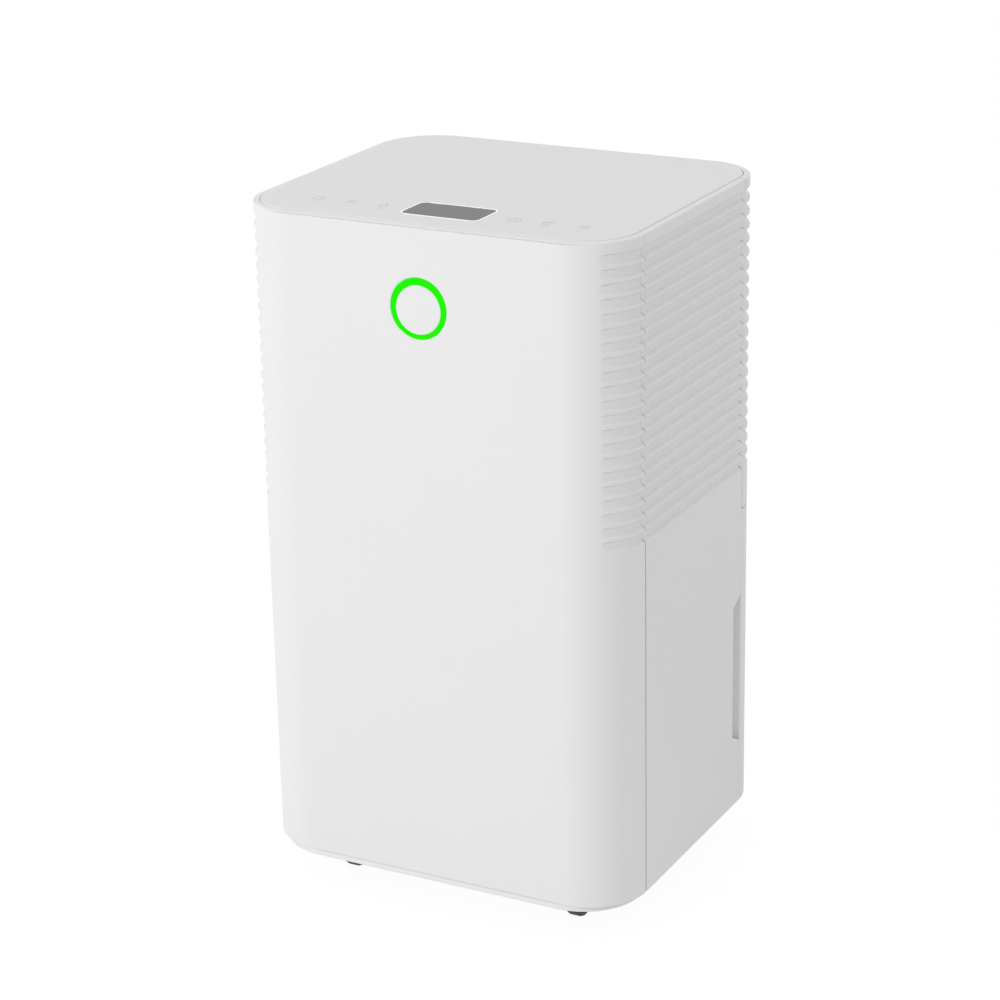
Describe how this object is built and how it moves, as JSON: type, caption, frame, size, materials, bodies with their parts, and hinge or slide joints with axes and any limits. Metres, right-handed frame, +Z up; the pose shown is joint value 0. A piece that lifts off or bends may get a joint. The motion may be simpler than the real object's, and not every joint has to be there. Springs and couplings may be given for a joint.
{
  "type": "dehumidifier",
  "caption": "Upright compressor dehumidifier on castors, with ribbed upper sides, a ring lamp, a touch top and a water tank that draws out at the rear.",
  "frame": {"origin": "On the floor under the middle of the body, where the castor wheels stand.", "axes": "+Z up; +Y from the front with the ring lamp to the rear where the tank draws out; +X to the right as seen from the front."},
  "size_m": [0.3, 0.258, 0.521],
  "materials": {
    "white_shell": "fine matt moulded, white",
    "white_gloss": "smooth satin, white",
    "display_grey": "dark smoked film, smooth",
    "lamp_green": "lit light guide, green",
    "dark_plastic": "moulded, dark grey",
    "grey_plastic": "moulded, light grey",
    "clear_tank": "clear moulded",
    "zinc_steel": "zinc plated",
    "black_steel": "black paint, semi-gloss",
    "coil_aluminium": "bare fin stock",
    "copper_tube": "bare copper",
    "board_green": "solder-masked board",
    "rubber_black": "moulded rubber",
    "mesh_grey": "woven nylon net"
  },
  "bodies": {
    "chassis": {"accumulator": "black_steel", "base_tray": "white_shell", "bulkhead": "grey_plastic", "capillary_tube": "copper_tube", "castor_plates": "zinc_steel", "compressor": "black_steel", "compressor_bolts": "zinc_steel", "compressor_bushes": "rubber_black", "condenser_fins": "coil_aluminium", "condenser_tubes": "copper_tube", "control_board": "board_green", "control_box": "zinc_steel", "control_box_cover": "zinc_steel", "cord_gland": "dark_plastic", "cover_screws": "zinc_steel", "discharge_pipe": "copper_tube", "display_module": "dark_plastic", "display_window": "display_grey", "drain_nozzle": "grey_plastic", "drip_tray": "grey_plastic", "evaporator_fins": "coil_aluminium", "evaporator_tubes": "copper_tube", "fan_housing": "grey_plastic", "fan_motor": "zinc_steel", "filter_drier": "copper_tube", "front_shell": "white_shell", "full_tank_sensor": "board_green", "indicator_disc": "white_shell", "indicator_ring": "lamp_green", "main_board": "board_green", "motor_screws": "zinc_steel", "rear_cover": "white_shell", "ring_lamp_board": "board_green", "run_capacitor": "zinc_steel", "side_panel_left": "white_shell", "side_panel_right": "white_shell", "suction_pipe": "copper_tube", "terminal_cover": "dark_plastic", "top_frame": "grey_plastic", "top_plate": "white_shell", "touch_springs": "zinc_steel"},
    "tank": {"water_tank": "white_shell", "tank_lid": "clear_tank", "level_window": "clear_tank", "float_pin": "zinc_steel"},
    "float": {"float": "white_gloss", "float_magnet": "zinc_steel"},
    "grille": {"intake_grille": "white_shell", "filter_mesh": "mesh_grey"},
    "fan": {"fan_wheel": "grey_plastic", "motor_shaft": "zinc_steel"},
    "plug": {"drain_plug": "rubber_black"},
    "fork_front_left": {"castor_fork_front_left": "dark_plastic"},
    "wheel_front_left": {"castor_wheel_front_left": "dark_plastic"},
    "fork_front_right": {"castor_fork_front_right": "dark_plastic"},
    "wheel_front_right": {"castor_wheel_front_right": "dark_plastic"},
    "fork_rear_left": {"castor_fork_rear_left": "dark_plastic"},
    "wheel_rear_left": {"castor_wheel_rear_left": "dark_plastic"},
    "fork_rear_right": {"castor_fork_rear_right": "dark_plastic"},
    "wheel_rear_right": {"castor_wheel_rear_right": "dark_plastic"}
  },
  "joints": [
    {"name": "tank_slide", "type": "slide", "parent": "chassis", "child": "tank", "axis": [0, 1, 0], "range_m": [0, 0.13]},
    {"name": "float_hinge", "type": "hinge", "parent": "tank", "child": "float", "pos_m": [0.06, 0.017, 0.25], "axis": [1, 0, 0], "range_deg": [0, 18]},
    {"name": "grille_slide", "type": "slide", "parent": "chassis", "child": "grille", "axis": [0, 1, 0], "range_m": [0, 0.1]},
    {"name": "fan_spin", "type": "hinge", "parent": "chassis", "child": "fan", "pos_m": [0, 0.02, 0.3905], "axis": [0, 1, 0], "continuous": true},
    {"name": "plug_slide", "type": "slide", "parent": "chassis", "child": "plug", "axis": [0, 1, 0], "range_m": [0, 0.03]},
    {"name": "swivel_front_left", "type": "hinge", "parent": "chassis", "child": "fork_front_left", "pos_m": [-0.094, -0.088, 0.025], "axis": [0, 0, 1], "continuous": true},
    {"name": "roll_front_left", "type": "hinge", "parent": "fork_front_left", "child": "wheel_front_left", "pos_m": [-0.094, -0.082, 0.011], "axis": [1, 0, 0], "continuous": true},
    {"name": "swivel_front_right", "type": "hinge", "parent": "chassis", "child": "fork_front_right", "pos_m": [0.094, -0.088, 0.025], "axis": [0, 0, 1], "continuous": true},
    {"name": "roll_front_right", "type": "hinge", "parent": "fork_front_right", "child": "wheel_front_right", "pos_m": [0.094, -0.082, 0.011], "axis": [1, 0, 0], "continuous": true},
    {"name": "swivel_rear_left", "type": "hinge", "parent": "chassis", "child": "fork_rear_left", "pos_m": [-0.094, 0.088, 0.025], "axis": [0, 0, 1], "continuous": true},
    {"name": "roll_rear_left", "type": "hinge", "parent": "fork_rear_left", "child": "wheel_rear_left", "pos_m": [-0.094, 0.094, 0.011], "axis": [1, 0, 0], "continuous": true},
    {"name": "swivel_rear_right", "type": "hinge", "parent": "chassis", "child": "fork_rear_right", "pos_m": [0.094, 0.088, 0.025], "axis": [0, 0, 1], "continuous": true},
    {"name": "roll_rear_right", "type": "hinge", "parent": "fork_rear_right", "child": "wheel_rear_right", "pos_m": [0.094, 0.094, 0.011], "axis": [1, 0, 0], "continuous": true}
  ]
}
